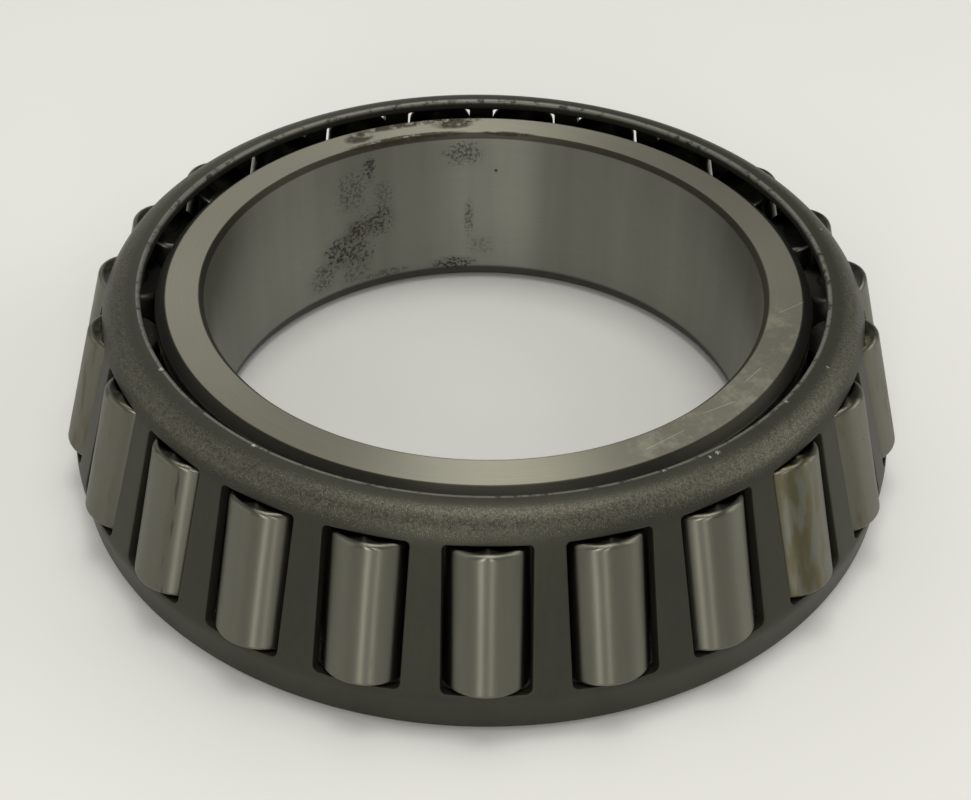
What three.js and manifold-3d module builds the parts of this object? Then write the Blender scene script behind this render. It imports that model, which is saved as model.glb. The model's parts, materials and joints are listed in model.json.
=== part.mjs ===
// Cone assembly of a single-row tapered roller bearing: the inner ring, a stamped
// window cage and a row of tapered rollers, standing on the ring's back face.
//
// Millimetres, +Z up along the bearing's axis. The origin is the centre of the ring's
// back face, so the rollers' small ends point up.
//
// The raceway, every roller's axis and the line where an outer ring would touch the
// rollers all meet at one point on the axis, the apex. Places along a roller are
// distances from the apex, and heights above its axis are measured square to it.

import * as THREE from 'three';
import { mergeVertices } from 'three/addons/utils/BufferGeometryUtils.js';
import Module from 'manifold-3d';

const wasm = await Module();
wasm.setup();

const radians = THREE.MathUtils.degToRad;

// Inner ring
const boreRadius = 47.5;
const ringWidth = 33.6;
const backCornerHeight = 3.5; // rounded corner of the bore at the back face
const backCornerDepth = 2.4;
const frontCornerHeight = 0.9; // chamfer of the bore at the front face
const frontCornerDepth = 0.7;
const racewayWall = 12.35; // bore to raceway, under the rollers' large ends
const racewayHalfAngle = radians(13.1);
const largeRibWidth = 5.3;
const largeRibHeight = 4.25;
const smallRibWidth = 4.6;
const smallRibHeight = 1.4;
const ribChamferDepth = 1.8; // outer corner of the small rib
const ribChamferHeight = 1.5;
const backChamfer = 1;
const reliefWidth = 0.8; // grinding relief beside each rib
const reliefDepth = 0.4;

// Rollers
const rollerCount = 23;
const rollerRadius = 6.8; // at the large end
const largeEndChamfer = 0.6;
const smallEndChamfer = 0.8;
const runningGap = 0.3; // to the raceway
const largeEndGap = 0.3; // to the large rib
const smallEndGap = 0.5; // to the small rib

// Cage
const sheet = 2;
const rollersProud = 1.65; // how far their large ends stand out of the cage
const wallLean = radians(1.2); // the wall leans in more than the rollers do
const lipGap = 2; // small rib to the cage's lip
const shoulderRadius = 6.4;
const shoulderLap = 0.7; // the shoulder starts this far below the windows' upper ends
const bendRadius = 1;
const bendMargin = 0.2; // window to the band's bend
const bandLean = radians(5.3); // the plain band draws in towards its foot
const footHeight = 0.7; // the cage hangs clear of the floor
const windowEndGap = 0.4; // roller's end to the window's end
const windowSideGap = 0.3; // roller to the window's inner edge
const windowFlare = 0.15; // pressed side walls open outwards
const upperCorner = 0.6; // clipped corners of a window
const lowerCorner = 1.2;

// Facets
const ringSegments = 4 * rollerCount;
const rollerSegments = 20;
const arcSteps = 4;

const ringSteel = new THREE.MeshStandardMaterial({ color: 0x8f8c80, roughness: 0.35, metalness: 1 });
const rollerSteel = new THREE.MeshStandardMaterial({ color: 0xa3a196, roughness: 0.22, metalness: 1 });
const cageSteel = new THREE.MeshStandardMaterial({ color: 0x3a3a33, roughness: 0.6, metalness: 0.6 });

// The rolling geometry: the raceway fixes the apex, and the rollers' taper follows, so
// that raceway, roller axis and outer contact line share it.
const racewayRadius = boreRadius + racewayWall;
const largeEndOnRaceway = racewayRadius / Math.sin(racewayHalfAngle) - largeEndGap;
const rollerHalfTaper = Math.asin((rollerRadius + runningGap) / largeEndOnRaceway);
const rollerTilt = racewayHalfAngle + rollerHalfTaper;
const apexHeight = largeRibWidth + racewayRadius / Math.tan(racewayHalfAngle);

// A point given by its distance from the apex along a roller's axis and its height
// above that axis, as radius and height in the bearing.
function onRoller(distance, above) {
  const radius = distance * Math.sin(rollerTilt) + above * Math.cos(rollerTilt);
  const height = apexHeight - distance * Math.cos(rollerTilt) + above * Math.sin(rollerTilt);
  return new THREE.Vector2(radius, height);
}

// Where a plane square to the rollers' axes, at this distance, meets a given radius.
function heightOnPlane(distance, radius) {
  const above = (radius - distance * Math.sin(rollerTilt)) / Math.cos(rollerTilt);
  return onRoller(distance, above).y;
}

function racewayRadiusAt(height) {
  return (apexHeight - height) * Math.tan(racewayHalfAngle);
}

// The distance along a roller's axis at which a height on the raceway lies.
function distanceOnRaceway(height) {
  return ((apexHeight - height) / Math.cos(racewayHalfAngle)) * Math.cos(rollerHalfTaper);
}

const smallRibStart = ringWidth - smallRibWidth;
const smallRibRadius = racewayRadiusAt(smallRibStart) + smallRibHeight;
const largeRibDistance = distanceOnRaceway(largeRibWidth);
const smallRibDistance = distanceOnRaceway(smallRibStart);
const largeEndDistance = largeEndOnRaceway * Math.cos(rollerHalfTaper);
const smallEndDistance = smallRibDistance + smallEndGap;
const rollerLength = largeEndDistance - smallEndDistance;

function rollerRadiusAt(distance) {
  return distance * Math.tan(rollerHalfTaper) - runningGap;
}

// Points on an arc in the radius-height plane, from one angle to another. Its two radii
// can differ.
function arc(centre, radiusAcross, radiusUp, from, to, steps = arcSteps) {
  const points = [];
  for (let step = 0; step <= steps; step += 1) {
    const angle = from + ((to - from) * step) / steps;
    const across = centre.x + radiusAcross * Math.cos(angle);
    const up = centre.y + radiusUp * Math.sin(angle);
    points.push(new THREE.Vector2(across, up));
  }
  return points;
}

// A ring turned from a closed outline, given with its material to the left.
function turned(outline, segments) {
  const closed = [...outline, outline[0].clone()];
  return new THREE.LatheGeometry(closed, segments);
}

// LatheGeometry turns about Y; the part stands along Z.
function standUp(geometry) {
  return geometry.rotateX(Math.PI / 2);
}

function toSolid(geometry) {
  const bare = geometry.clone();
  bare.deleteAttribute('normal');
  bare.deleteAttribute('uv');
  const merged = mergeVertices(bare, 1e-4);
  const vertProperties = Float32Array.from(merged.attributes.position.array);
  const triVerts = Uint32Array.from(merged.index.array);
  return new wasm.Manifold(new wasm.Mesh({ numProp: 3, vertProperties, triVerts }));
}

function toGeometry(solid) {
  const mesh = solid.getMesh();
  const geometry = new THREE.BufferGeometry();
  geometry.setAttribute('position', new THREE.BufferAttribute(mesh.vertProperties, 3));
  geometry.setIndex(new THREE.BufferAttribute(mesh.triVerts, 1));
  geometry.computeVertexNormals();
  return geometry;
}

// Inner ring: bore, back face, large rib, raceway, small rib and front face. Each rib's
// inner face is square to the rollers' axes.
function innerRing() {
  const largeRibRadius = racewayRadius + largeRibHeight;
  const largeReliefEnd = largeRibWidth + reliefWidth;
  const smallReliefEnd = smallRibStart - reliefWidth;
  const largeReliefRadius = racewayRadius - reliefDepth;
  const smallReliefRadius = racewayRadiusAt(smallRibStart) - reliefDepth;
  const backCorner = new THREE.Vector2(boreRadius + backCornerDepth, backCornerHeight);

  const outline = [
    ...arc(backCorner, backCornerDepth, backCornerHeight, Math.PI, 1.5 * Math.PI),
    new THREE.Vector2(largeRibRadius - backChamfer, 0),
    new THREE.Vector2(largeRibRadius, backChamfer),
    new THREE.Vector2(largeRibRadius, heightOnPlane(largeRibDistance, largeRibRadius)),
    new THREE.Vector2(largeReliefRadius, heightOnPlane(largeRibDistance, largeReliefRadius)),
    new THREE.Vector2(racewayRadiusAt(largeReliefEnd), largeReliefEnd),
    new THREE.Vector2(racewayRadiusAt(smallReliefEnd), smallReliefEnd),
    new THREE.Vector2(smallReliefRadius, heightOnPlane(smallRibDistance, smallReliefRadius)),
    new THREE.Vector2(smallRibRadius, heightOnPlane(smallRibDistance, smallRibRadius)),
    new THREE.Vector2(smallRibRadius, ringWidth - ribChamferHeight),
    new THREE.Vector2(smallRibRadius - ribChamferDepth, ringWidth),
    new THREE.Vector2(boreRadius + frontCornerDepth, ringWidth),
    new THREE.Vector2(boreRadius, ringWidth - frontCornerHeight),
  ];
  return standUp(turned(outline, ringSegments));
}

// The cage's wall: a cone set in by rollersProud at the rollers' large ends.
const wallSlope = rollerHalfTaper + wallLean;
const wallHalfAngle = rollerTilt + wallSlope;
const wallNormal = new THREE.Vector2(Math.cos(wallHalfAngle), Math.sin(wallHalfAngle));

function wallAboveAxis(distance) {
  return rollerRadius - rollersProud - (largeEndDistance - distance) * Math.tan(wallSlope);
}

function onWall(distance) {
  return onRoller(distance, wallAboveAxis(distance));
}

const windowTopDistance = smallEndDistance - windowEndGap;
const windowFootDistance = largeEndDistance + windowEndGap;
const shoulderStart = onWall(windowTopDistance + shoulderLap);
const bendStart = onWall(windowFootDistance + bendMargin);
const lipRadius = smallRibRadius + lipGap;

// Cage before its windows: one skin of the sheet, set in from the outside by inset.
// Both skins turn about the same two centres, so the sheet keeps its thickness.
function cageSkin(inset) {
  const shoulderCentre = shoulderStart.clone().addScaledVector(wallNormal, -shoulderRadius);
  const bendCentre = bendStart.clone().addScaledVector(wallNormal, -bendRadius - sheet);
  const shoulder = shoulderRadius - inset;
  const bend = bendRadius + sheet - inset;
  const bandToWall = arc(bendCentre, bend, bend, -bandLean, wallHalfAngle, 2);
  const bandTop = bandToWall[0];
  const footRadius = bandTop.x - (bandTop.y - footHeight) * Math.tan(bandLean);
  return [
    new THREE.Vector2(footRadius, footHeight),
    ...bandToWall,
    ...arc(shoulderCentre, shoulder, shoulder, wallHalfAngle, 0.5 * Math.PI),
    new THREE.Vector2(lipRadius, shoulderCentre.y + shoulder),
  ];
}

// One window's cutter, lying along a roller's axis with x across, y up the roller and z
// outwards: an outline with small corners, whose side walls open outwards.
function windowCutter() {
  // The wall curves round the bearing, so it lies lower at the window's sides.
  const halfWidthAt = (distance) => {
    const reach = rollerRadiusAt(distance);
    const fall = reach ** 2 / (2 * onWall(distance).x);
    const innerSkin = wallAboveAxis(distance) - sheet - fall;
    const chord = Math.sqrt(reach ** 2 - innerSkin ** 2);
    return chord + windowSideGap - innerSkin * windowFlare;
  };
  const footHalf = halfWidthAt(windowFootDistance);
  const topHalf = halfWidthAt(windowTopDistance);
  const length = windowFootDistance - windowTopDistance;

  const rightSide = [
    new THREE.Vector2(footHalf - lowerCorner, 0),
    new THREE.Vector2(footHalf, lowerCorner),
    new THREE.Vector2(topHalf, length - upperCorner),
    new THREE.Vector2(topHalf - upperCorner, length),
  ];
  const leftSide = rightSide.map((point) => new THREE.Vector2(-point.x, point.y)).reverse();
  const outline = new THREE.Shape([...rightSide, ...leftSide]);
  const depth = wallAboveAxis(windowFootDistance) + sheet;
  const geometry = new THREE.ExtrudeGeometry(outline, { depth, bevelEnabled: false });
  const position = geometry.attributes.position;
  for (let index = 0; index < position.count; index += 1) {
    const x = position.getX(index);
    position.setX(index, x + Math.sign(x) * windowFlare * position.getZ(index));
  }
  return geometry;
}

function rollerAngle(index) {
  return -Math.PI / 2 + (index * 2 * Math.PI) / rollerCount;
}

// From a roller's own frame, z along its axis towards the apex and x outwards, to its
// place in the bearing, with its origin at the given distance from the apex.
function rollerPlace(index, distance) {
  const centre = onRoller(distance, 0);
  const turn = new THREE.Matrix4().makeRotationZ(rollerAngle(index));
  const shift = new THREE.Matrix4().makeTranslation(centre.x, 0, centre.y);
  const tilt = new THREE.Matrix4().makeRotationY(-rollerTilt);
  return turn.multiply(shift).multiply(tilt);
}

// Cage: the turned sheet less a window for each roller.
function cage() {
  const outline = [...cageSkin(0), ...cageSkin(sheet).reverse()];
  let solid = toSolid(standUp(turned(outline, ringSegments)));
  // Windows: the cutter's x, y and z become across, along and outwards.
  const lieDown = new THREE.Matrix4().makeBasis(
    new THREE.Vector3(0, 1, 0),
    new THREE.Vector3(0, 0, 1),
    new THREE.Vector3(1, 0, 0),
  );
  for (let index = 0; index < rollerCount; index += 1) {
    const place = rollerPlace(index, windowFootDistance).multiply(lieDown);
    solid = solid.subtract(toSolid(windowCutter().applyMatrix4(place)));
  }
  return toGeometry(solid);
}

// One roller, standing on its large end with its axis along z.
function roller() {
  const smallRadius = rollerRadiusAt(smallEndDistance);
  const chamferTaper = Math.tan(rollerHalfTaper);
  const profile = [
    new THREE.Vector2(0, 0),
    new THREE.Vector2(rollerRadius - largeEndChamfer, 0),
    new THREE.Vector2(rollerRadius - largeEndChamfer * chamferTaper, largeEndChamfer),
    new THREE.Vector2(smallRadius + smallEndChamfer * chamferTaper, rollerLength - smallEndChamfer),
    new THREE.Vector2(smallRadius - smallEndChamfer, rollerLength),
    new THREE.Vector2(0, rollerLength),
  ];
  return standUp(new THREE.LatheGeometry(profile, rollerSegments));
}

const bearing = new THREE.Group();

const ringMesh = new THREE.Mesh(innerRing(), ringSteel.clone());
ringMesh.name = 'inner_ring';
bearing.add(ringMesh);

const cageMesh = new THREE.Mesh(cage(), cageSteel.clone());
cageMesh.name = 'cage';
bearing.add(cageMesh);

for (let index = 0; index < rollerCount; index += 1) {
  const seat = onRoller(largeEndDistance, 0);
  const around = new THREE.Group();
  around.rotation.z = rollerAngle(index);
  const rollerMesh = new THREE.Mesh(roller(), rollerSteel.clone());
  rollerMesh.name = `roller_${String(index + 1).padStart(2, '0')}`;
  rollerMesh.position.set(seat.x, 0, seat.y);
  rollerMesh.rotation.y = -rollerTilt;
  around.add(rollerMesh);
  bearing.add(around);
}

export default bearing;
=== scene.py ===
import json
import math

import bmesh
import bpy
import numpy as np
from mathutils import Matrix, Vector


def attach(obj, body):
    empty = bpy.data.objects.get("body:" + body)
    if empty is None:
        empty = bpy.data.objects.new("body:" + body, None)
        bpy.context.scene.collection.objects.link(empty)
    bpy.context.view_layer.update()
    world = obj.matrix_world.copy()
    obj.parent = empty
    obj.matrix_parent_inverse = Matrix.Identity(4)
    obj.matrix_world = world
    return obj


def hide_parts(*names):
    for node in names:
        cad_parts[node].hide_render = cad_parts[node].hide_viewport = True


# Looks of a tapered roller bearing's cone assembly: inner ring, stamped cage and rollers.
# Shapes are worked out in millimetres and made metres when they become meshes.

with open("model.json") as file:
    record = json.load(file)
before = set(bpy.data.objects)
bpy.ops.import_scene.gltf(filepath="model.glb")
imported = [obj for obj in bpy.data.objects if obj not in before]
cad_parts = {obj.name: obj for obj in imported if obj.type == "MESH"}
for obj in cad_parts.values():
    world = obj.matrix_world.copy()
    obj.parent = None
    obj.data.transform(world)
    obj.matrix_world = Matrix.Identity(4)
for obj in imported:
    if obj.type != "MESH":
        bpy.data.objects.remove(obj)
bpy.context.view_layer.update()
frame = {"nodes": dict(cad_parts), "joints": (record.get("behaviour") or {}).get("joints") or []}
mm = 0.001
print("frame loaded:", len(frame["nodes"]), "nodes")


# Measures that every piece shares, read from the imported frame.

def nodePoints(name):
    # all corner points of a frame node, as rows of x, y, z in millimetres
    mesh = frame["nodes"][name].data
    points = np.empty(len(mesh.vertices) * 3)
    mesh.vertices.foreach_get("co", points)
    return points.reshape(-1, 3) / mm


def rollerSeat(name):
    # centre of the large end, and the three directions of the roller: out, across, along
    joint = next(joint for joint in frame["joints"] if joint["child"] == name)
    seat = np.array(joint["pos_m"]) / mm
    along = np.array(joint["axis"])
    along = along / np.linalg.norm(along)
    out = np.array([seat[0], seat[1], 0.0])
    out = out - along * (out @ along)
    out = out / np.linalg.norm(out)
    return seat, out, np.cross(along, out), along


rollerNames = sorted(name for name in frame["nodes"] if name.startswith("roller_"))
rollerCount = len(rollerNames)
pitch = 2 * math.pi / rollerCount

firstSeat, _, _, firstAlong = rollerSeat(rollerNames[0])
tilt = math.acos(firstAlong[2])
seatRadius = math.hypot(firstSeat[0], firstSeat[1])
firstAngle = math.atan2(firstSeat[1], firstSeat[0])
largeEnd = seatRadius / math.sin(tilt)  # distance from the apex, where all the axes meet
apexHeight = firstSeat[2] + largeEnd * math.cos(tilt)

local = nodePoints(rollerNames[0]) - firstSeat
heights = local @ firstAlong
reaches = np.linalg.norm(local - heights[:, None] * firstAlong, axis=1)
rollerLength = heights.max()
smallEnd = largeEnd - rollerLength
widest = reaches.max()
widestHeight = heights[reaches.argmax()]
justBelowEnd = 0.05
upperHalf = (heights > rollerLength / 2) & (heights < rollerLength - justBelowEnd)
narrow = reaches[upperHalf].max()
narrowHeight = heights[upperHalf].min()
taper = math.atan((widest - narrow) / (narrowHeight - widestHeight))
racewayAngle = tilt - taper


def rollerRadiusAt(distance):
    return widest + (distance - largeEnd + widestHeight) * math.tan(taper)


def onRoller(distance, above):
    # a point given by its distance from the apex and its height above the roller's axis,
    # as radius and height in the bearing
    radius = distance * math.sin(tilt) + above * math.cos(tilt)
    height = apexHeight - distance * math.cos(tilt) + above * math.sin(tilt)
    return np.array([radius, height])


# Mesh making

def makePiece(name, patches, seam=0.002):
    # each patch is a grid of points; neighbours in a grid make a four-sided face, and
    # points of two patches closer than the seam are merged
    points = np.concatenate([patch.reshape(-1, 3) for patch in patches])
    faces = []
    first = 0
    for patch in patches:
        rows, columns = patch.shape[:2]
        index = first + np.arange(rows * columns).reshape(rows, columns)
        corners = (index[:-1, :-1], index[:-1, 1:], index[1:, 1:], index[1:, :-1])
        faces.append(np.stack(corners, axis=-1).reshape(-1, 4))
        first += rows * columns
    faces = np.concatenate(faces)
    mesh = bpy.data.meshes.new(name)
    mesh.vertices.add(len(points))
    mesh.vertices.foreach_set("co", (points * mm).ravel())
    mesh.loops.add(faces.size)
    mesh.loops.foreach_set("vertex_index", faces.ravel().astype(np.int32))
    mesh.polygons.add(len(faces))
    mesh.polygons.foreach_set("loop_start", np.arange(0, faces.size, 4, dtype=np.int32))
    mesh.update(calc_edges=True)
    shape = bmesh.new()
    shape.from_mesh(mesh)
    bmesh.ops.remove_doubles(shape, verts=shape.verts, dist=seam * mm)
    bmesh.ops.recalc_face_normals(shape, faces=shape.faces)
    shape.to_mesh(mesh)
    shape.free()
    mesh.polygons.foreach_set("use_smooth", np.ones(len(mesh.polygons), dtype=bool))
    piece = bpy.data.objects.new(name, mesh)
    bpy.context.scene.collection.objects.link(piece)
    return piece


def softCorners(corners, steps=5, support=0.12):
    # a closed outline whose corners are rounded: each corner is (radius, height, setback
    # before, setback after), and its curve is corner + before * (1 - sin t) +
    # after * (1 - cos t) for t from 0 to a right angle, with a point on the straight
    # just outside each end
    corners = np.array(corners, float)
    place = corners[:, :2]
    before = np.roll(place, 1, axis=0) - place
    after = np.roll(place, -1, axis=0) - place
    before /= np.linalg.norm(before, axis=1, keepdims=True)
    after /= np.linalg.norm(after, axis=1, keepdims=True)
    turn = np.linspace(0, math.pi / 2, steps + 1)
    back = np.concatenate([[1], 1 - np.sin(turn), [0]])
    ahead = np.concatenate([[0], 1 - np.cos(turn), [1]])
    backReach = back[None, :] * corners[:, 2:3]
    aheadReach = ahead[None, :] * corners[:, 3:4]
    backReach[:, 0] += support
    aheadReach[:, -1] += support
    outline = (place[:, None] + backReach[..., None] * before[:, None]
               + aheadReach[..., None] * after[:, None])
    return outline.reshape(-1, 2)


def turnOutline(outline, steps):
    # the outline carried round the bearing's axis: (r cos a, r sin a, z)
    angle = np.linspace(0, 2 * math.pi, steps + 1)
    radius, height = outline[:, 0, None], outline[:, 1, None]
    level = np.broadcast_to(height, (len(outline), steps + 1))
    return np.stack([radius * np.cos(angle), radius * np.sin(angle), level], axis=-1)


# Inner ring

ringShape = {
    "backCorner": (3.5, 2.4),  # bore corner at the back face: up the bore, along the face
    "frontCorner": (0.9, 0.7),  # bore chamfer at the front face
    "largeRibWidth": 5.3,
    "smallRibWidth": 4.6,
    "smallRibHeight": 1.4,
    "ribChamfer": (1.8, 1.5),  # outer corner of the small rib: inwards, down
    "backChamfer": 1.0,
    "reliefWidth": 0.8,
    "reliefDepth": 0.4,
    "edge": 0.16,  # rounding of the turned edges
    "rimEdge": 0.45,  # the small rib's outer edge is more worn
    "steps": 368,
}


def ringOutline(shape):
    points = nodePoints("inner_ring")
    reach = np.hypot(points[:, 0], points[:, 1])
    bore, rib, width = reach.min(), reach.max(), points[:, 2].max()
    slope = math.tan(racewayAngle)

    def raceway(height):
        return (apexHeight - height) * slope

    def ribFace(distance, radius):
        # the rib's face is square to the rollers' axes
        above = (radius - distance * math.sin(tilt)) / math.cos(tilt)
        return onRoller(distance, above)[1]

    ribStart = width - shape["smallRibWidth"]
    smallRib = raceway(ribStart) + shape["smallRibHeight"]
    alongRaceway = math.cos(taper) / math.cos(racewayAngle)
    largeFace = (apexHeight - shape["largeRibWidth"]) * alongRaceway
    smallFace = (apexHeight - ribStart) * alongRaceway
    largeRelief = raceway(shape["largeRibWidth"]) - shape["reliefDepth"]
    smallRelief = raceway(ribStart) - shape["reliefDepth"]
    largeReliefEnd = shape["largeRibWidth"] + shape["reliefWidth"]
    smallReliefEnd = ribStart - shape["reliefWidth"]
    edge, rim = shape["edge"], shape["rimEdge"]
    chamferIn, chamferDown = shape["ribChamfer"]
    cornerIn, cornerDown = shape["frontCorner"][1], shape["frontCorner"][0]
    chamfer = shape["backChamfer"]
    outline = softCorners([
        (bore, 0, *shape["backCorner"]),
        (rib - chamfer, 0, edge, edge),
        (rib, chamfer, edge, edge),
        (rib, ribFace(largeFace, rib), 2 * edge, 2 * edge),
        (largeRelief, ribFace(largeFace, largeRelief), edge, edge),
        (raceway(largeReliefEnd), largeReliefEnd, edge, edge),
        (raceway(smallReliefEnd), smallReliefEnd, edge, edge),
        (smallRelief, ribFace(smallFace, smallRelief), edge, edge),
        (smallRib, ribFace(smallFace, smallRib), edge, edge),
        (smallRib, width - chamferDown, rim, rim),
        (smallRib - chamferIn, width, edge, edge),
        (bore + cornerIn, width, edge, edge),
        (bore, width - cornerDown, edge, edge),
    ])
    return np.vstack([outline, outline[:1]])


ringPiece = makePiece("ground_ring", [turnOutline(ringOutline(ringShape), ringShape["steps"])])
print("ring made:", len(ringPiece.data.polygons), "faces")


# Cage

cageShape = {
    "sheet": 2.0,
    "rollersProud": 1.65,  # at the large ends
    "wallLean": math.radians(1.2),  # the wall leans in more than the rollers do
    "lean": math.radians(5.3),  # the band draws in towards the foot
    "bend": 1.0,
    "bendMargin": 0.2,
    "shoulder": 6.4,
    "shoulderLap": 0.7,
    "endGap": 0.4,
    "sideGap": 0.3,
    "flare": 0.15,
    "lowerCorner": 1.15,
    "upperCorner": 0.75,
    "pressedEdge": 0.16,  # rounding of the window's outer edge
    "innerEdge": 0.12,
    "sheetEdge": 0.5,  # rounding of the lip's and the foot's edges
    "margin": (2.3, 2.7),  # height of the windows' belt below and above the windows
    "besideEdge": 0.3,  # width of the first land beside a rounded edge
    "cornerCells": 3,  # cells in half a window corner
    "columns": 16,
    "rows": 24,
    "outerLand": (1, 0.75, 0.5, 0.25),  # rows across a land, as shares of its width
    "innerLand": (0.33, 0.66, 1),
    "depthRows": 4,  # rows down a window's side wall
    "lipRows": 24,
    "footRows": 7,
}


def wallAboveAxis(shape, distance):
    # height of the cage's outer skin above the roller's axis
    foot = rollerRadiusAt(largeEnd) - shape["rollersProud"]
    return foot - (largeEnd - distance) * math.tan(taper + shape["wallLean"])


def cageMeasures(shape):
    # the outer skin from foot to lip as five stretches, straight or bent: the length, the
    # bend radius, the start point and the direction that the skin faces at the start
    wallAngle = tilt + taper + shape["wallLean"]

    def onWall(distance):
        return onRoller(distance, wallAboveAxis(shape, distance))

    def facing(angle):
        return np.array([math.cos(angle), math.sin(angle)])

    points = nodePoints("cage")
    foot = points[:, 2].min()
    lip = np.hypot(points[:, 0], points[:, 1])[points[:, 2] > points[:, 2].max() - 0.01].min()
    windowTop = smallEnd - shape["endGap"]
    windowFoot = largeEnd + shape["endGap"]
    outerBend = shape["bend"] + shape["sheet"]
    bendEnd = onWall(windowFoot + shape["bendMargin"])
    bendStart = bendEnd + outerBend * (facing(-shape["lean"]) - facing(wallAngle))
    bandLength = (bendStart[1] - foot) / math.cos(shape["lean"])
    footPoint = np.array([bendStart[0] - bandLength * math.sin(shape["lean"]), foot])
    shoulderStart = onWall(windowTop + shape["shoulderLap"])
    shoulderEnd = shoulderStart + shape["shoulder"] * (facing(math.pi / 2) - facing(wallAngle))
    wallLength = np.linalg.norm(shoulderStart - bendEnd)
    lengths = [bandLength, outerBend * (wallAngle + shape["lean"]), wallLength,
               shape["shoulder"] * (math.pi / 2 - wallAngle), shoulderEnd[0] - lip]
    knots = np.concatenate([[0], np.cumsum(lengths)])
    return {
        "knots": knots,
        "bends": np.array([0, outerBend, 0, shape["shoulder"], 0]),
        "starts": np.array([footPoint, bendStart, bendEnd, shoulderStart, shoulderEnd]),
        "facings": np.array([-shape["lean"], -shape["lean"], wallAngle, wallAngle,
                             math.pi / 2]),
        "windowFoot": knots[2] + shape["bendMargin"] / math.cos(wallAngle - tilt),
        "windowTop": knots[3] + shape["shoulderLap"] / math.cos(wallAngle - tilt),
        "widthFoot": windowHalfWidth(shape, windowFoot),
        "widthTop": windowHalfWidth(shape, windowTop),
    }


def windowHalfWidth(shape, distance):
    # half the window's width on the outer skin: the roller's chord at the inner skin, a
    # gap, and the lean of the pressed side wall
    reach = rollerRadiusAt(distance)
    wallAbove = wallAboveAxis(shape, distance)
    fall = reach ** 2 / (2 * onRoller(distance, wallAbove)[0])
    inner = wallAbove - shape["sheet"] - fall
    return math.sqrt(reach ** 2 - inner ** 2) + shape["sideGap"] + shape["sheet"] * shape["flare"]


def onSheet(measures, angle, along, inset):
    # a point of the sheet: start + length * direction on a straight stretch, start +
    # bend * (facing - first facing) on a bent one, then inset mm in from the outer skin,
    # all turned to its angle round the bearing
    knots, bends = measures["knots"], measures["bends"]
    stretch = np.clip(np.searchsorted(knots, along, side="right") - 1, 0, len(bends) - 1)
    run = along - knots[stretch]
    bend = bends[stretch]
    straight = bend == 0
    firstFacing = measures["facings"][stretch]
    facing = firstFacing + np.where(straight, 0, run / np.where(straight, 1, bend))
    start = measures["starts"][stretch]
    radius = (start[..., 0] + bend * (np.cos(facing) - np.cos(firstFacing))
              - straight * run * np.sin(firstFacing) - inset * np.cos(facing))
    height = (start[..., 1] + bend * (np.sin(facing) - np.sin(firstFacing))
              + straight * run * np.cos(firstFacing) - inset * np.sin(facing))
    return np.stack([radius * np.cos(angle), radius * np.sin(angle), height], axis=-1)


def windowOutline(shape, measures, grow, narrow):
    # a rounded four-sided window on the sheet, from the middle of its lower left corner
    # round to the same point: straight sides and quarter-circle corners, grown outwards by
    # grow and drawn in at the sides by narrow; gives the angle and the place along the sheet
    foot, top = measures["windowFoot"] - grow, measures["windowTop"] + grow
    middleWidth = (measures["widthFoot"] + measures["widthTop"]) / 2
    half = middleWidth + grow - narrow
    lower, upper = shape["lowerCorner"] + grow, shape["upperCorner"] + grow
    part = shape["cornerCells"]

    def corner(across, along, radius, fromTurn, toTurn):
        turn = np.radians(np.linspace(fromTurn, toTurn, part + 1))
        return across + radius * np.cos(turn), along + radius * np.sin(turn)

    def side(startCorner, endCorner, cells):
        # half a corner, a straight and half a corner, without the last point
        across = np.linspace(startCorner[0][-1], endCorner[0][0], cells - 2 * part + 1)
        along = np.linspace(startCorner[1][-1], endCorner[1][0], cells - 2 * part + 1)
        return (np.concatenate([startCorner[0][:-1], across, endCorner[0][1:-1]]),
                np.concatenate([startCorner[1][:-1], along, endCorner[1][1:-1]]))

    lowerLeft = (-half + lower, foot + lower, lower)
    lowerRight = (half - lower, foot + lower, lower)
    upperRight = (half - upper, top - upper, upper)
    upperLeft = (-half + upper, top - upper, upper)
    sides = [
        side(corner(*lowerLeft, 225, 270), corner(*lowerRight, 270, 315), shape["columns"]),
        side(corner(*lowerRight, -45, 0), corner(*upperRight, 0, 45), shape["rows"]),
        side(corner(*upperRight, 45, 90), corner(*upperLeft, 90, 135), shape["columns"]),
        side(corner(*upperLeft, 135, 180), corner(*lowerLeft, 180, 225), shape["rows"]),
    ]
    across = np.concatenate([run[0] for run in sides])
    along = np.concatenate([run[1] for run in sides])
    # the window widens towards the foot with the roller
    share = (along - measures["windowFoot"]) / (measures["windowTop"] - measures["windowFoot"])
    width = measures["widthFoot"] + share * (measures["widthTop"] - measures["widthFoot"])
    across = across * width / middleWidth
    radius = np.linalg.norm(onSheet(measures, 0 * along, along, 0 * along)[:, :2], axis=1)
    return across / radius, along


def beltOutline(shape, low, high):
    # the border of one roller's share of the belt, point for point with windowOutline
    half = pitch / 2
    columns = np.linspace(-half, half, shape["columns"] + 1)[:-1]
    rows = np.linspace(low, high, shape["rows"] + 1)[:-1]
    angle = np.concatenate([columns, half + 0 * rows, -columns, -half + 0 * rows])
    along = np.concatenate([low + 0 * columns, rows, high + 0 * columns, high + low - rows])
    return angle, along


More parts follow.
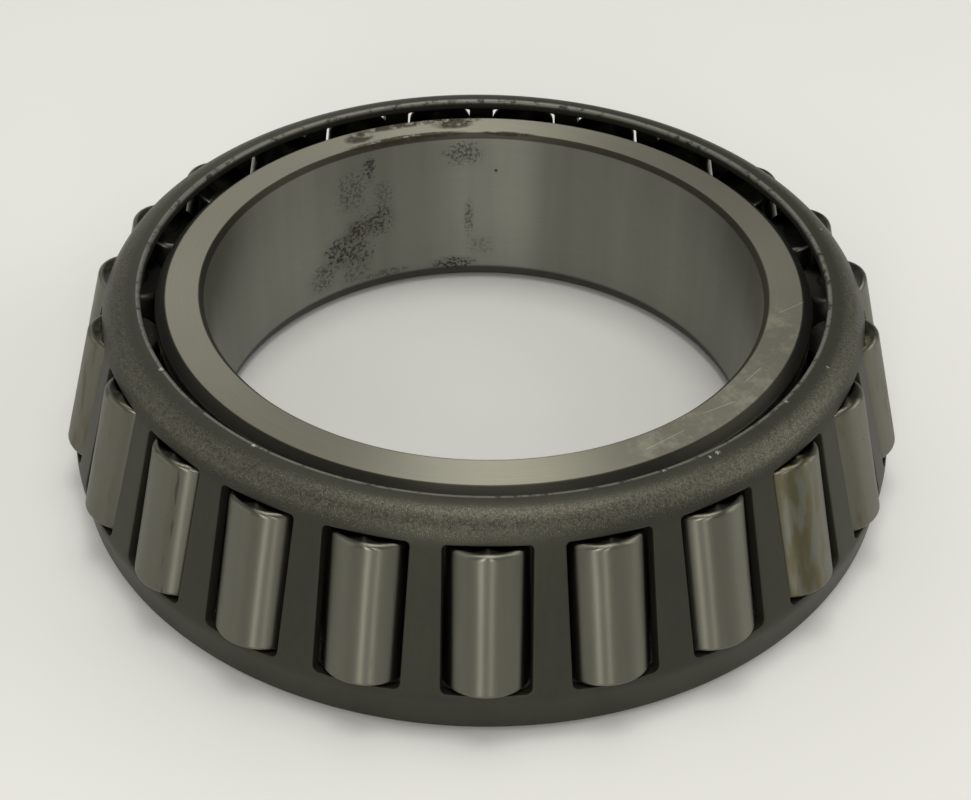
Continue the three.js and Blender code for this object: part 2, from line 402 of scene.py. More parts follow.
def cagePatches(shape):
    measures = cageMeasures(shape)
    sheet, pressed, inner = shape["sheet"], shape["pressedEdge"], shape["innerEdge"]
    low = measures["windowFoot"] - shape["margin"][0]
    high = measures["windowTop"] + shape["margin"][1]
    lean = shape["flare"] - measures["widthFoot"] / seatRadius  # side wall against the skin
    rounding = np.radians(np.array([0, 22.5, 45, 67.5, 90]))

    # rings of the window's edge from the outer to the inner skin: (grow, narrow, inset)
    beside = shape["besideEdge"]
    depths = np.linspace(pressed, sheet - inner, shape["depthRows"])[1:]
    rings = [(pressed + beside, 0, 0)]
    rings += [(pressed * (1 - math.sin(t)), 0, pressed * (1 - math.cos(t))) for t in rounding]
    rings += [(0, lean * depth, depth) for depth in depths]
    rings += [(inner * (1 - math.cos(t)), lean * sheet, sheet - inner * (1 - math.sin(t)))
              for t in rounding[2:]]
    rings += [(inner + beside, lean * sheet, sheet)]
    edge = [(*windowOutline(shape, measures, grow, narrow), inset) for grow, narrow, inset in rings]

    # the lands between the windows, on both skins
    border = beltOutline(shape, low, high)

    def land(ring, inset, shares):
        return [((1 - share) * ring[0] + share * border[0],
                 (1 - share) * ring[1] + share * border[1], inset) for share in shares]

    layers = land(edge[0], 0, shape["outerLand"]) + edge
    layers += land(edge[-1], sheet, shape["innerLand"])
    angle = np.stack([layer[0] for layer in layers])
    along = np.stack([layer[1] for layer in layers])
    inset = np.stack([0 * layer[0] + layer[2] for layer in layers])
    angle, along, inset = (np.hstack([grid, grid[:, :1]]) for grid in (angle, along, inset))
    patches = [onSheet(measures, angle + firstAngle + index * pitch, along, inset)
               for index in range(rollerCount)]

    # the shoulder and lip, and the plain band, each round the sheet's edge and back
    soft = shape["sheetEdge"]
    end = measures["knots"][-1]
    cells = shape["columns"] * rollerCount
    around = firstAngle - pitch / 2 + np.linspace(0, 2 * math.pi, cells + 1)
    for belt, limit, rows in ((high, end, shape["lipRows"]), (low, 0, shape["footRows"])):
        way = math.copysign(1, limit - belt)
        outside = np.linspace(belt, limit - way * soft, rows)
        lengths = np.concatenate([
            outside, limit - way * soft * (1 - np.sin(rounding[1:])),
            limit - way * soft * (1 - np.cos(rounding)), outside[::-1][1:]])
        insets = np.concatenate([
            0 * outside, soft * (1 - np.cos(rounding[1:])),
            sheet - soft * (1 - np.sin(rounding)), 0 * outside[1:] + sheet])
        grid = np.meshgrid(around, lengths)
        patches.append(onSheet(measures, grid[0], grid[1], np.meshgrid(around, insets)[1]))
    return patches


cagePiece = makePiece("pressed_cage", cagePatches(cageShape))
print("cage made:", len(cagePiece.data.polygons), "faces")


# Rollers

rollerShape = {
    "largeEndCorner": 0.7,
    "smallEndCorner": 0.85,
    "edge": 0.22,
    "recess": (2.4, 0.12, 0.5),  # shallow dish in each end: radius, depth, width of its slope
    "hub": 0.02,  # setback of the outline where it meets the axis
    "trim": 0.07,  # keeps the round roller inside the many-sided one
    "steps": 72,
}


def rollerOutline(shape):
    # radius and height from the large end's centre to the small end's centre
    edge = shape["edge"]
    lower, upper = shape["largeEndCorner"], shape["smallEndCorner"]
    largeRadius = rollerRadiusAt(largeEnd) - shape["trim"]
    smallRadius = rollerRadiusAt(smallEnd) - shape["trim"]
    dish, depth, slope = shape["recess"]
    hub = shape["hub"]
    corners = [
        (0, depth, hub, hub),
        (dish - slope, depth, edge, edge),
        (dish, 0, edge, edge),
        (largeRadius, 0, lower, lower),
        (smallRadius, rollerLength, upper, upper),
        (dish, rollerLength, edge, edge),
        (dish - slope, rollerLength - depth, edge, edge),
        (0, rollerLength - depth, hub, hub),
    ]
    rounded = softCorners(corners, steps=6, support=0.1)
    points = len(rounded) // len(corners)
    rounded = rounded[points:-points]
    return np.vstack([[0, depth], rounded, [0, rollerLength - depth]])


def rollerPatch(name, shape):
    # the outline turned about the roller's own axis, then laid along its seat
    seat, out, across, along = rollerSeat(name)
    turned = turnOutline(rollerOutline(shape), shape["steps"])
    return seat + turned[..., :1] * out + turned[..., 1:2] * across + turned[..., 2:] * along


def keepOwnPlace(piece, name, seed):
    # each point's place on the roller's own axes, in millimetres, and a number that
    # makes every roller's grinding marks different
    seat, out, across, along = rollerSeat(name)
    mesh = piece.data
    points = np.empty(len(mesh.vertices) * 3)
    mesh.vertices.foreach_get("co", points)
    offset = points.reshape(-1, 3) / mm - seat
    own = np.stack([offset @ out, offset @ across, offset @ along], axis=1)
    mesh.attributes.new("own", "FLOAT_VECTOR", "POINT").data.foreach_set("vector", own.ravel())
    lot = np.full(len(mesh.vertices), float(seed))
    mesh.attributes.new("lot", "FLOAT", "POINT").data.foreach_set("value", lot)


rollerPieces = {}
for number, name in enumerate(rollerNames, start=1):
    piece = makePiece(name.replace("roller", "ground_roller"), [rollerPatch(name, rollerShape)])
    keepOwnPlace(piece, name, number)
    rollerPieces[name] = piece
print("rollers made:", len(rollerPieces))


# Shader graphs

class Reading:
    # one output of a shader node; sums on it add Math nodes beside it
    def __init__(self, finish, socket):
        self.finish = finish
        self.socket = socket

    def do(self, operation, *others):
        return self.finish.calc(operation, self, *others)

    def __add__(self, other):
        return self.do("ADD", other)

    def __sub__(self, other):
        return self.do("SUBTRACT", other)

    def __mul__(self, other):
        return self.do("MULTIPLY", other)

    def __truediv__(self, other):
        return self.do("DIVIDE", other)

    def __radd__(self, other):
        return self.finish.calc("ADD", other, self)

    def __rsub__(self, other):
        return self.finish.calc("SUBTRACT", other, self)

    def __rmul__(self, other):
        return self.finish.calc("MULTIPLY", other, self)


class Finish:
    # a material under construction
    def __init__(self, name):
        self.material = bpy.data.materials.new(name)
        self.material.use_nodes = True
        self.nodes = self.material.node_tree.nodes
        self.links = self.material.node_tree.links
        self.nodes.clear()

    def node(self, kind, settings, values, output=0):
        # settings are the node's own, "stops" a ramp's; values are its sockets'
        made = self.nodes.new(kind)
        for key, value in settings.items():
            if key == "stops":
                ramp = made.color_ramp.elements
                while len(ramp) < len(value):
                    ramp.new(0.5)
                for stop, (place, colour) in zip(ramp, value):
                    stop.position = place
                    stop.color = (*colour, 1)
            else:
                setattr(made, key, value)
        for key, value in values.items():
            if isinstance(value, Reading):
                self.links.new(value.socket, made.inputs[key])
            else:
                made.inputs[key].default_value = value
        return None if output is None else Reading(self, made.outputs[output])

    def calc(self, operation, *values):
        return self.node("ShaderNodeMath", {"operation": operation}, dict(enumerate(values)))

    def fade(self, value, low, high):
        # 0 below low, 1 above high and a smooth rise between; high below low turns it round
        settings = {"interpolation_type": "SMOOTHSTEP"}
        values = {"Value": value, "From Min": min(low, high), "From Max": max(low, high),
                  "To Min": 0.0 if low < high else 1.0, "To Max": 1.0 if low < high else 0.0}
        return self.node("ShaderNodeMapRange", settings, values)

    def between(self, value, low, high, soft):
        # 1 from low to high, falling to 0 over soft on either side
        return self.fade(value, low - soft, low) * self.fade(value, high + soft, high)

    def mix(self, share, first, second):
        settings = {"data_type": "RGBA"}
        colours = [value if isinstance(value, Reading) else (*value, 1) for value in (first, second)]
        values = {"Factor": share, 6: colours[0], 7: colours[1]}
        return self.node("ShaderNodeMix", settings, values, 2)

    def shade(self, colour, amount):
        # the colour made lighter or darker by a factor
        return self.node("ShaderNodeVectorMath", {"operation": "SCALE"},
                         {0: colour, "Scale": amount})

    def point(self, x, y, z):
        return self.node("ShaderNodeCombineXYZ", {}, {"X": x, "Y": y, "Z": z})

    def split(self, vector):
        made = self.node("ShaderNodeSeparateXYZ", {}, {"Vector": vector}).socket.node
        return [Reading(self, socket) for socket in made.outputs]

    def noise(self, vector, scale, detail=2.0, rough=0.5, seed=0.0):
        values = {"Vector": vector, "W": seed, "Scale": scale, "Detail": detail, "Roughness": rough}
        return self.node("ShaderNodeTexNoise", {"noise_dimensions": "4D"}, values)

    def place(self):
        # Object coordinates in millimetres
        source = self.node("ShaderNodeTexCoord", {}, {}, "Object")
        return self.node("ShaderNodeVectorMath", {"operation": "SCALE"}, {0: source, "Scale": 1 / mm})

    def own(self, name, output):
        return self.node("ShaderNodeAttribute", {"attribute_name": name}, {}, output)

    def polar(self, x, y):
        # distance from the axis, and the angle round it in degrees
        radius = self.calc("SQRT", x * x + y * y)
        return radius, self.calc("ARCTAN2", y, x) * math.degrees(1)

    def scratch(self, x, y, start, end, width):
        # a straight hairline from start to end on a flat, fading at its ends
        run = Vector(end) - Vector(start)
        length = run.length
        run = run / length
        ahead = (x - start[0]) * run.x + (y - start[1]) * run.y
        aside = self.calc("ABSOLUTE", (x - start[0]) * -run.y + (y - start[1]) * run.x)
        return self.fade(aside, width, width * 0.3) * self.between(ahead, 0, length, length * 0.15)

    def bump(self, height, distance, strength):
        values = {"Height": height, "Distance": distance * mm, "Strength": strength}
        return self.node("ShaderNodeBump", {}, values)

    def done(self, sockets):
        shader = self.node("ShaderNodeBsdfPrincipled", {}, sockets)
        self.node("ShaderNodeOutputMaterial", {}, {"Surface": shader}, None)
        return self.material


def marksAround(make, x, y, radius, height, turns, fine):
    # fine lines that run round an axis, without a seam where the angle starts again
    return make.noise(make.point(x / radius * turns, y / radius * turns, height), fine, 4.0, 0.6)


# Ring steel: turned and ground, with rust beside the bore

ringLook = {
    "steel": (0.262, 0.260, 0.220),
    "warmSteel": (0.300, 0.287, 0.224),
    "boreSteel": (0.270, 0.272, 0.236),
    "boreShare": 0.9,
    "brown": (0.052, 0.043, 0.028),
    "pit": (0.022, 0.018, 0.013),
    "roughness": 0.40,
    "ground": 0.85,  # grinding runs round the axis, so highlights stretch across it
    "lines": 0.30,  # how far the grinding lines lighten and darken the steel
    "lineShape": (5, 2.5, 1.3),  # how dense they are across, round the axis, and their scale
    "chamferPaintedShade": 0.16,  # painted shade: the small rib's chamfer and its rim are darkened
    "rimPaintedShade": 0.55,
    "cornerPaintedShade": 0.30,  # painted shade: so are the corners at both ends of the bore
    "faceTone": 0.06,  # how much lighter the faced end is, and how much darker the bore
    "boreTone": -0.10,
    "boreReflectionStreaks": (9, 0.01, 0.36),  # painted reflection streaks up the bore: how dense round the bore and along it, and how strong
    "rubbedArc": (-62, -14, 8),  # degrees where the face is rubbed, and its soft edge
    "rubbed": (0.44, 0.66),
    "rubbedTone": 0.42,
    "zones": {  # radius or height in millimetres where a zone starts, and where it is full
        "bore": (48.0, 47.7), "face": (33.50, 33.58), "nearFace": (32.6, 33.0),
        "topCorner": ((48.45, 48.2), (32.5, 32.8)), "footCorner": ((50.2, 49.8), (3.4, 2.6)),
        "chamfer": ((53.65, 53.9), (31.0, 31.7)), "rim": ((55.30, 55.55), (31.0, 31.7)),
    },
    "noises": {  # scale, detail, roughness and seed
        "cloud": (0.07, 3.0, 0.6), "rubbed": (0.30, 5.0, 0.7, 5.0), "reflectionStreaks": (1.0, 3.0, 0.6, 7.0),
        "mottle": (0.35, 5.0, 0.65, 3.0), "speckle": (1.5, 5.0, 0.68, 8.0),
    },
    "rustOnFace": (  # degrees round the face, radius, and how far they spread each way
        (117.5, 51.4, 3.2, 1.7), (108.0, 53.5, 10.0, 1.5), (96.5, 51.8, 4.4, 1.8),
        (95.0, 53.4, 5.0, 1.2), (108.0, 48.5, 14.0, 0.8), (84.0, 48.4, 6.0, 0.5),
    ),
    "pitsInBore": (  # degrees round the bore, height, how far they spread each way, depth
        (121.0, 15.8, 4.2, 3.0, 1.2), (125.8, 12.2, 5.5, 4.2, 0.9), (116.0, 16.4, 5.5, 4.2, 0.7),
        (120.5, 10.6, 5.0, 4.0, 0.55), (131.0, 7.6, 5.0, 4.0, 0.45), (122.0, 6.2, 5.0, 3.2, 0.3),
        (117.3, 29.2, 1.9, 3.8, 0.9), (121.8, 24.8, 5.5, 6.0, 0.4), (114.0, 21.5, 3.0, 6.0, 0.35),
        (94.5, 29.5, 6.0, 3.5, 0.45), (93.0, 14.5, 1.4, 5.5, 0.4), (97.0, 3.9, 6.5, 1.8, 0.9),
        (114.0, 3.8, 8.0, 1.3, 0.4), (90.0, 8.0, 4.0, 3.0, 0.2),
    ),
    "faceRust": {"edge": (1.5, 0.3), "stain": (0.40, 0.52), "pits": (0.50, 0.58), "pitShare": 0.7},
    "boreRust": {"edge": (1.6, 0.0), "stain": (0.40, 0.60), "stainShare": 0.24, "haze": 0.10,
                 "pits": (0.66, 0.76), "lift": 0.20, "pitShare": 1.6},
    "cornerStain": 0.6,
    "stainShare": 0.85,
    "pitShare": 0.9,
    "boreRadius": 47.5,
    "darkDot": (86.6, 25.6),  # degrees round the bore, height
    "dotEdge": (0.16, 0.05),  # square of its radius: outer edge, full
    "scratches": (((24.0, -45.5), (29.5, -41.5)), ((33.5, -37.0), (38.0, -34.5)),
                  ((41.0, -29.0), (43.5, -26.0)), ((49.2, -10.6), (53.6, -7.6))),
    "scratch": (0.11, 0.75),  # half width, and how much lighter
    "gloss": {"lines": 0.08, "rim": 0.12, "stain": 0.18, "pits": 0.35, "pitMetal": 0.8},
    "relief": {"lines": 0.25, "rubbed": 0.8, "pits": 3.0, "depth": 0.012, "strength": 0.8},
}


def ringFinish(look):
    make = Finish("ground_ring_steel")
    x, y, z = make.split(make.place())
    radius, angle = make.polar(x, y)
    zones, noises = look["zones"], look["noises"]

    def corner(name):
        reach, level = zones[name]
        return make.fade(radius, *reach) * make.fade(z, *level)

    bore = make.fade(radius, *zones["bore"])
    face = make.fade(z, *zones["face"])
    topCorner = corner("topCorner")
    footCorner = corner("footCorner")
    chamfer = corner("chamfer")
    rim = corner("rim")

    dense, turns, fine = look["lineShape"]
    lines = marksAround(make, x, y, radius, radius * dense + z * dense, turns, fine)
    cloud = make.noise(make.point(x, y, z * 2), *noises["cloud"])
    rubbed = make.noise(make.point(x, y, z), *noises["rubbed"])
    # painted reflection streaks up the bore, random round it
    dense, level, uneven = look["boreReflectionStreaks"]
    roundBore = make.point(x / radius * dense, y / radius * dense, z * level)
    reflectionStreaks = make.noise(roundBore, *noises["reflectionStreaks"])
    colour = make.mix(cloud, look["steel"], look["warmSteel"])
    colour = make.mix(bore * look["boreShare"], colour, look["boreSteel"])
    tone = 1 - look["lines"] / 2 + lines * look["lines"]
    # painted shade: the small rib's chamfer and its rim are made darker
    tone = tone * (1 - chamfer * (1 - rim) * (1 - look["chamferPaintedShade"]))
    tone = tone * (1 - rim * (1 - look["rimPaintedShade"]))
    # painted shade: the corners at both ends of the bore are made darker
    tone = tone * (1 - (topCorner + footCorner) * (1 - look["cornerPaintedShade"]))

    # the face is rubbed in front on the right; painted reflection streaks run up the bore all round
    worn = make.between(angle, *look["rubbedArc"]) * make.fade(rubbed, *look["rubbed"])
    tone = tone * (1 + face * (look["faceTone"] + worn * look["rubbedTone"]))
    tone = tone * (1 + bore * (look["boreTone"] + (reflectionStreaks - 0.5) * uneven))
    width, lighter = look["scratch"]
    for start, end in look["scratches"]:
        tone = tone + make.scratch(x, y, start, end, width) * face * lighter

    # rust: soft brown stains, and clusters of dark pits
    mottle = make.noise(make.point(x, y, z), *noises["mottle"])
    speckle = make.noise(make.point(x, y, z), *noises["speckle"])
    stain = topCorner * look["cornerStain"]
    pits = 0.0
    rust = look["faceRust"]
    for middle, reach, wide, deep in look["rustOnFace"]:
        aside = (angle - middle) / wide
        out = (radius - reach) / deep
        near = make.fade(aside * aside + out * out, *rust["edge"])
        near = near * make.fade(z, *zones["nearFace"])
        stain = stain + near * make.fade(mottle, *rust["stain"])
        pits = pits + near * make.fade(speckle, *rust["pits"]) * rust["pitShare"]
    rust = look["boreRust"]
    for middle, height, wide, tall, depth in look["pitsInBore"]:
        aside = (angle - middle) / wide
        above = (z - height) / tall
        near = make.fade(aside * aside + above * above, *rust["edge"]) * bore
        patches = make.fade(mottle, *rust["stain"]) * rust["stainShare"] + rust["haze"]
        stain = stain + near * patches * depth
        dots = make.fade(speckle + near * rust["lift"], *rust["pits"])
        pits = pits + dots * near * rust["pitShare"] * depth
    dotAngle, dotHeight = look["darkDot"]
    aside = (angle - dotAngle) * math.radians(look["boreRadius"])
    distance = aside * aside + (z - dotHeight) * (z - dotHeight)
    pits = pits + make.fade(distance, *look["dotEdge"]) * bore
    stain = make.calc("MINIMUM", stain, 1.0)
    pits = make.calc("MINIMUM", pits, 1.0)

    colour = make.shade(colour, tone)
    colour = make.mix(stain * look["stainShare"], colour, look["brown"])
    colour = make.mix(pits * look["pitShare"], colour, look["pit"])
    gloss, relief = look["gloss"], look["relief"]
    roughness = look["roughness"] + lines * gloss["lines"] - rim * gloss["rim"]
    roughness = roughness + stain * gloss["stain"]
    height = lines * relief["lines"] + rubbed * face * relief["rubbed"] - pits * relief["pits"]
    return make.done({
        "Base Color": colour,
        "Metallic": 1 - pits * gloss["pitMetal"],
        "Roughness": roughness + pits * gloss["pits"],
        "Normal": make.bump(height, relief["depth"], relief["strength"]),
        "Anisotropic": look["ground"], "Anisotropic Rotation": 0.25,
    })


# Roller steel: finely ground, smoother than the ring

rollerLook = {
    "steel": (0.231, 0.229, 0.192),
    "warmSteel": (0.254, 0.249, 0.197),
    "stain": (0.165, 0.145, 0.075),
    "pit": (0.030, 0.024, 0.018),
    "endPaintedShade": 0.22,  # painted shade: the flat ends are darker than the rolling surface
    "roughness": 0.32,
    "ground": 0.93,  # grinding runs round the axis, so highlights stretch along it
    "tone": 0.72,
    "tones": (0.84, 0.06, 0.20),  # plain steel, grinding lines, painted reflection streaks
    "lineShape": (5, 1.2, 1.4),  # how dense they are along, round the axis, and their scale
    "reflectionStreaks": (6, 0.02),  # painted reflection streaks: how wide round the roller, how dense along it
    "cornerGloss": 0.07,  # the rounded corner at the small end is smoother
    "endRadius": (5.9, 5.2),  # millimetres where the flat end starts, and where it is full
    "endDepth": (0.5, 0.2),
    "cornerDepth": (0.8, 0.5),
    "noises": {  # scale, detail, roughness and seed
        "reflectionStreaks": (3.2, 3.0, 0.6), "wear": (0.50, 4.0, 0.62), "speckle": (1.9, 4.0, 0.6, 5.0),
        "rub": (1.1, 3.0, 0.6, 2.0),
    },
    "stained": (0.60, 0.74, 0.16, 0.75),  # fade in the wear, its shift, share of the colour
    "stainEdge": (2.0, 1.5),
    "pitted": (0.70, 0.74, 0.06, 0.3),  # fade in the speckle, its shift, least share
    "rubbed": (0.60, 0.68, 0.55),  # fade in the rub marks, how much darker
    "rubbedSide": (1.0, 4.0),
    "gloss": {"lines": 0.07, "wear": 0.06, "stain": 0.15, "pits": 0.3},
    "relief": {"lines": 0.10, "pits": 2.0, "depth": 0.005, "strength": 0.7},
    "plain": (0.0, 9.0, 0.0, 0.0),
    "marked": {  # brown stain and how far right it reaches, pits, and dark rub marks
        "roller_04": (1.00, 0.5, 0.25, 0.0),
        "roller_05": (0.60, -1.0, 0.65, 0.0),
        "roller_06": (0.70, 9.0, 0.30, 0.0),
        "roller_19": (0.70, 9.0, 0.20, 0.0),
        "roller_20": (0.45, 9.0, 0.10, 0.0),
        "roller_21": (0.10, 9.0, 0.10, 0.8),
        "roller_23": (0.00, 9.0, 0.15, 0.3),
    },
}


def rollerFinish(look, name, marks):
    stainShare, stainReach, pitShare, rubShare = marks
    noises = look["noises"]
    make = Finish(name)
    x, y, z = make.split(make.own("own", "Vector"))
    lot = make.own("lot", "Fac")
    radius = make.calc("SQRT", x * x + y * y)
    far, near = look["endDepth"]
    ends = make.fade(z, far, near) + make.fade(z, rollerLength - far, rollerLength - near)
    end = make.fade(radius, *look["endRadius"]) * ends
    dense, turns, fine = look["lineShape"]
    lines = marksAround(make, x, y, radius + 0.001, z * dense + lot * 7, turns, fine)
    # painted reflection streaks along the roller, random round it
    wide, dense = look["reflectionStreaks"]
    along = make.point(x / wide, y / wide, z * dense + lot * 3)
    reflectionStreaks = make.noise(along, *noises["reflectionStreaks"])
    wear = make.noise(make.point(x, y, z * 0.22 + lot * 11), *noises["wear"])
    colour = make.mix(wear, look["steel"], look["warmSteel"])
    plain, lined, paintedStreakShare = look["tones"]
    tone = look["tone"] * (plain + lines * lined + reflectionStreaks * paintedStreakShare)
    # painted shade on the flat ends
    tone = tone * (1 - end * (1 - look["endPaintedShade"]))
    far, near = look["cornerDepth"]
    rounded = make.fade(z, rollerLength - far, rollerLength - near) * (1 - end)
    speckle = make.noise(make.point(x, y, z + lot * 5), *noises["speckle"])
    rub = make.noise(make.point(x, y, z * 0.12 + lot * 13), *noises["rub"])

    # stains, pits and rub marks, as far as this roller has them
    low, high, shift, stainColour = look["stained"]
    shift = stainShare * shift
    stain = make.fade(wear, low - shift, high - shift) * stainShare
    right, left = look["stainEdge"]
    stain = stain * make.fade(y, stainReach + right, stainReach - left)
    low, high, shift, least = look["pitted"]
    shift = pitShare * shift
    pits = make.fade(speckle, low - shift, high - shift) * min(1, least + pitShare)
    low, high, darker = look["rubbed"]
    rubbed = make.fade(rub, low, high) * make.fade(y, *look["rubbedSide"]) * rubShare

    gloss, relief = look["gloss"], look["relief"]
    roughness = look["roughness"] + lines * gloss["lines"] + wear * gloss["wear"]
    roughness = roughness + stain * gloss["stain"] + pits * gloss["pits"]
    roughness = roughness - rounded * look["cornerGloss"]
    colour = make.shade(colour, tone * (1 - rubbed * darker))
    colour = make.mix(stain * stainColour, colour, look["stain"])
    colour = make.mix(pits, colour, look["pit"])
    height = lines * relief["lines"] - pits * relief["pits"]
    return make.done({
        "Base Color": colour, "Metallic": 1.0, "Roughness": roughness,
        "Normal": make.bump(height, relief["depth"], relief["strength"]),
        "Anisotropic": look["ground"], "Anisotropic Rotation": 0.25,
    })


# Cage steel: pressed sheet with a dark phosphate coat

cageLook = {
    "coat": (0.058, 0.057, 0.042),
    "darkCoat": (0.039, 0.039, 0.029),
    "bareSteel": (0.70, 0.69, 0.62),
    "grain": (0.34, 0.33, 0.27),
    # the crest's lighter colour: partly worn coat, partly painted highlight
    "wornCoatAndHighlight": (0.165, 0.160, 0.122),
    "roughness": 0.46,
    "tones": (0.74, 0.26, 0.26),  # plain coat, grain, drawing marks
    "rubbed": 0.55,  # how much of the shoulder's crest is lightened, all round: partly worn coat, partly painted highlight
    "sparkle": 0.50,
    "burr": 0.22,  # how bare the lip's inner edge is
    "shoulder": (60.4, 64.0, 0.9),  # radii of the grainy shoulder, and its soft edge
    "crest": (61.3, 62.9, 1.3),
    "lipEdge": (58.55, 58.3),
    "levels": {  # height in millimetres where a zone starts, and where it is full
        "shoulder": (31.5, 33.0), "crest": (32.0, 33.5), "lip": (34.5, 34.9),
        "chips": (33.0, 34.5), "nicks": (32.0, 33.0),
    },
    "noises": {  # scale, detail, roughness and seed
        "grain": (2.6, 3.0, 0.7), "fineGrain": (7.0, 2.0, 0.6, 4.0), "cloud": (0.10, 4.0, 0.6, 2.0),
        "drawn": (0.9, 3.0, 0.6, 6.0), "rough": (2.4, 4.0, 0.75, 1.0), "nick": (0.55, 3.0, 0.7, 9.0),
    },
    "fades": {  # where a mark starts in its noise, and where it is full
        "worn": (0.36, 0.62), "sparkle": (0.56, 0.68), "burr": (0.34, 0.50),
        "chips": (0.735, 0.76), "nicks": (1.1, 0.3),
    },
    "nicks": (  # degrees round the lip, radius, size
        (-55.0, 59.0, 0.36), (-56.5, 59.2, 0.25), (-38.5, 58.6, 0.30), (-27.0, 60.4, 0.25),
        (-150.0, 58.3, 0.40), (-126.0, 58.4, 0.32), (-64.0, 58.3, 0.3), (12.0, 61.0, 0.25),
    ),
    "ragged": 7,
    "nickShare": 0.9,
    "chipShare": 0.7,
    "metal": (0.75, 0.25),  # coated, and how much more where bare
    "gloss": {"cloud": 0.10, "shoulder": 0.06, "bare": 0.16},
    "relief": {"grain": 0.9, "fineGrain": 0.5, "sparkle": 0.4, "rough": 0.9, "depth": 0.030,
               "strength": 0.7},
}


def cageFinish(look):
    make = Finish("phosphated_cage_steel")
    x, y, z = make.split(make.place())
    radius = make.calc("SQRT", x * x + y * y)
    place = make.point(x, y, z)
    levels, noises, fades = look["levels"], look["noises"], look["fades"]
    grain = make.noise(place, *noises["grain"])
    fineGrain = make.noise(place, *noises["fineGrain"])
    cloud = make.noise(place, *noises["cloud"])
    drawn = make.noise(make.point(x, y, z * 0.12), *noises["drawn"])
    shoulder = make.between(radius, *look["shoulder"]) * make.fade(z, *levels["shoulder"])
    colour = make.mix(cloud, look["darkCoat"], look["coat"])
    plain, grainy, marked = look["tones"]
    tone = plain + grain * grainy + drawn * marked
    crest = make.between(radius, *look["crest"]) * make.fade(z, *levels["crest"])
    rough = make.noise(place, *noises["rough"])
    # the crest is lightened all round: partly worn coat, partly painted highlight
    worn = crest * make.fade(rough, *fades["worn"]) * look["rubbed"]
    worn = make.calc("MINIMUM", worn, 1.0)
    sparkle = make.fade(fineGrain, *fades["sparkle"]) * shoulder * look["sparkle"]

    # bare metal on the lip's inner edge, and nicks along the edges
    lipEdge = make.fade(radius, *look["lipEdge"]) * make.fade(z, *levels["lip"])
    nick = make.noise(place, *noises["nick"])
    burr = lipEdge * make.fade(nick, *fades["burr"]) * look["burr"]
    chips = make.fade(nick, *fades["chips"]) * make.fade(z, *levels["chips"])
    for turn, reach, size in look["nicks"]:
        aside = x - reach * math.cos(math.radians(turn))
        ahead = y - reach * math.sin(math.radians(turn))
        blot = (aside * aside + ahead * ahead) / size ** 2 + (fineGrain - 0.5) * look["ragged"]
        spot = make.fade(blot, *fades["nicks"]) * make.fade(z, *levels["nicks"])
        chips = chips + spot * look["nickShare"]
    bare = make.calc("MINIMUM", sparkle + burr + chips * look["chipShare"], 1.0)
    colour = make.shade(colour, tone)
    colour = make.mix(worn, colour, look["wornCoatAndHighlight"])
    colour = make.mix(make.calc("MINIMUM", sparkle, 1.0), colour, look["grain"])
    edges = make.calc("MINIMUM", burr + chips * look["chipShare"], 1.0)
    colour = make.mix(edges, colour, look["bareSteel"])
    gloss, relief = look["gloss"], look["relief"]
    height = grain * relief["grain"] + fineGrain * relief["fineGrain"]
    height = height + sparkle * relief["sparkle"] + rough * shoulder * relief["rough"]
    coated, more = look["metal"]
    metal = coated + bare * more
    roughness = look["roughness"] + cloud * gloss["cloud"] - shoulder * gloss["shoulder"]
    return make.done({
        "Base Color": colour,
        "Metallic": metal,
        "Roughness": roughness - bare * gloss["bare"],
        "Normal": make.bump(height, relief["depth"], relief["strength"]),
    })


# Every piece takes its finish, its body and the node that it stands for

def fit(piece, node, body, finish):
    piece.data.materials.append(finish)
    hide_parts(node)
    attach(piece, body)


fit(ringPiece, "inner_ring", "inner_ring", ringFinish(ringLook))
fit(cagePiece, "cage", "cage", cageFinish(cageLook))
plainRoller = rollerFinish(rollerLook, "ground_roller_steel", rollerLook["plain"])
for name, piece in rollerPieces.items():
    finish = plainRoller
    if name in rollerLook["marked"]:
        finish = rollerFinish(rollerLook, f"stained_{name}_steel", rollerLook["marked"][name])
    fit(piece, name, name, finish)
print("finishes made:", len(bpy.data.materials))


# Floor, light and camera

studio = {
    "floor": (0.90, 0.90, 0.885),
    "floorCloud": (0.01, 3.0, 0.5),  # scale, detail and roughness of its faint unevenness
    "floorTone": (0.98, 0.04),
    "floorRoughness": 0.55,
    "floorSize": 6.0,
    "sky": (1.0, 0.985, 0.93),
    "skyStrength": 0.33,
    "panelColour": (1.0, 0.985, 0.94),
    "panels": {  # position, aim, width, height, watts
        "overhead_panel": ((0.04, 0.06, 0.8), (0.0, 0.0, 0.0), 0.4, 0.4, 2.2),
        "right_panel": ((0.60, 0.02, 0.38), (0.0, 0.0, 0.01), 0.5, 0.4, 1.0),
        "left_panel": ((-0.62, -0.10, 0.36), (0.0, 0.0, 0.01), 0.8, 0.4, 0.6),
        "back_left_panel": ((-0.30, 0.85, 0.55), (0.0, 0.0, 0.02), 0.6, 0.5, 0.8),
        "front_left_strip": ((-0.17, -0.76, 0.34), (0.0, 0.0, 0.02), 0.09, 0.36, 1.1),
        "front_right_strip": ((0.13, -0.77, 0.34), (0.0, 0.0, 0.02), 0.05, 0.36, 0.65),
    },
}


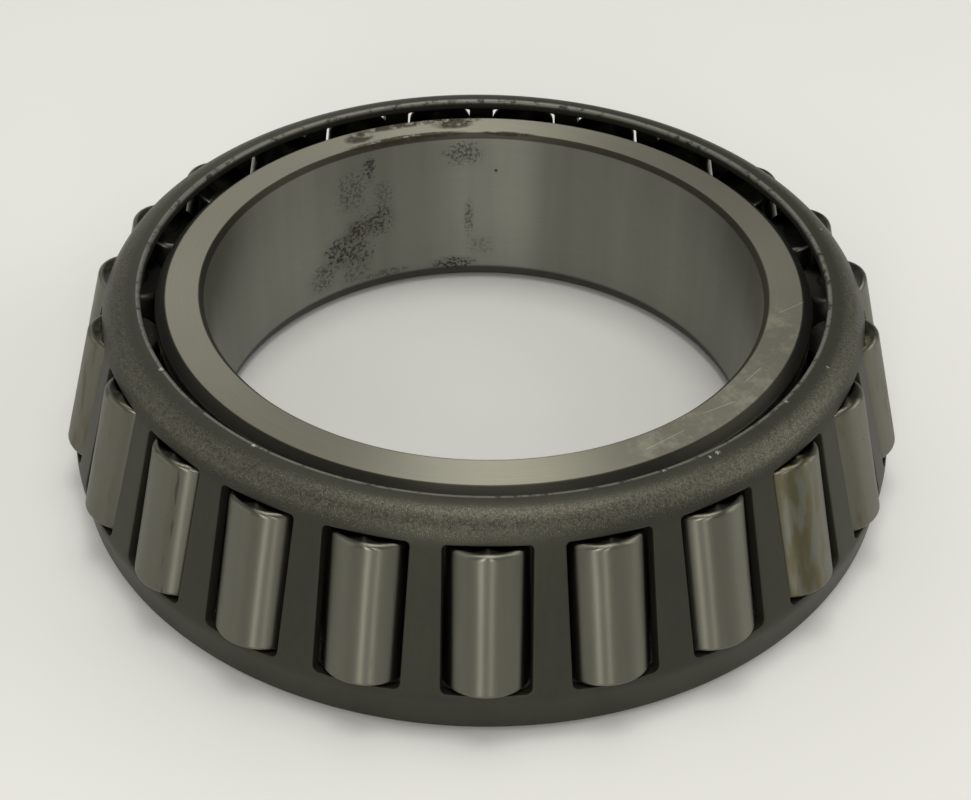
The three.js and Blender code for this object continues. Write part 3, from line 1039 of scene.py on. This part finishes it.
def makeFloor(look):
    half = look["floorSize"] / 2
    mesh = bpy.data.meshes.new("floor")
    mesh.from_pydata([(-half, -half, 0), (half, -half, 0), (half, half, 0), (-half, half, 0)],
                     [], [(0, 1, 2, 3)])
    floor = bpy.data.objects.new("floor", mesh)
    bpy.context.scene.collection.objects.link(floor)
    make = Finish("pale_floor")
    cloud = make.noise(make.place(), *look["floorCloud"])
    plain, uneven = look["floorTone"]
    colour = make.shade(look["floor"], plain + cloud * uneven)
    sockets = {"Base Color": colour, "Roughness": look["floorRoughness"]}
    mesh.materials.append(make.done(sockets))


def makeLights(look):
    world = bpy.data.worlds.new("soft_sky")
    world.use_nodes = True
    background = world.node_tree.nodes["Background"]
    background.inputs["Color"].default_value = (*look["sky"], 1)
    background.inputs["Strength"].default_value = look["skyStrength"]
    bpy.context.scene.world = world
    for name, (position, aim, width, height, watts) in look["panels"].items():
        light = bpy.data.lights.new(name, "AREA")
        light.shape = "RECTANGLE"
        light.size, light.size_y = width, height
        light.energy = watts
        light.color = look["panelColour"]
        panel = bpy.data.objects.new(name, light)
        panel.location = position
        direction = Vector(aim) - Vector(position)
        panel.rotation_euler = direction.to_track_quat("-Z", "Y").to_euler()
        bpy.context.scene.collection.objects.link(panel)


makeFloor(studio)
makeLights(studio)

view = {
    "lens": 59.79,
    "distance": 0.29596,
    "aim": (0.000627, 0.002510, 0.003864),
    "elevation": 39.0,
    "swing": -1.157,
    "roll": 1.0,
}


def makeCamera(view):
    data = bpy.data.cameras.new("camera")
    data.lens = view["lens"]
    data.clip_start = 0.01
    camera = bpy.data.objects.new("camera", data)
    turn = (Matrix.Rotation(math.radians(view["swing"]), 4, "Z")
            @ Matrix.Rotation(math.radians(90 - view["elevation"]), 4, "X")
            @ Matrix.Rotation(math.radians(view["roll"]), 4, "Z"))
    back = turn @ Vector((0, 0, view["distance"]))
    camera.matrix_world = Matrix.Translation(Vector(view["aim"]) + back) @ turn
    bpy.context.scene.collection.objects.link(camera)
    bpy.context.scene.camera = camera


makeCamera(view)
bpy.context.scene.view_settings.view_transform = "Standard"
print("studio made")
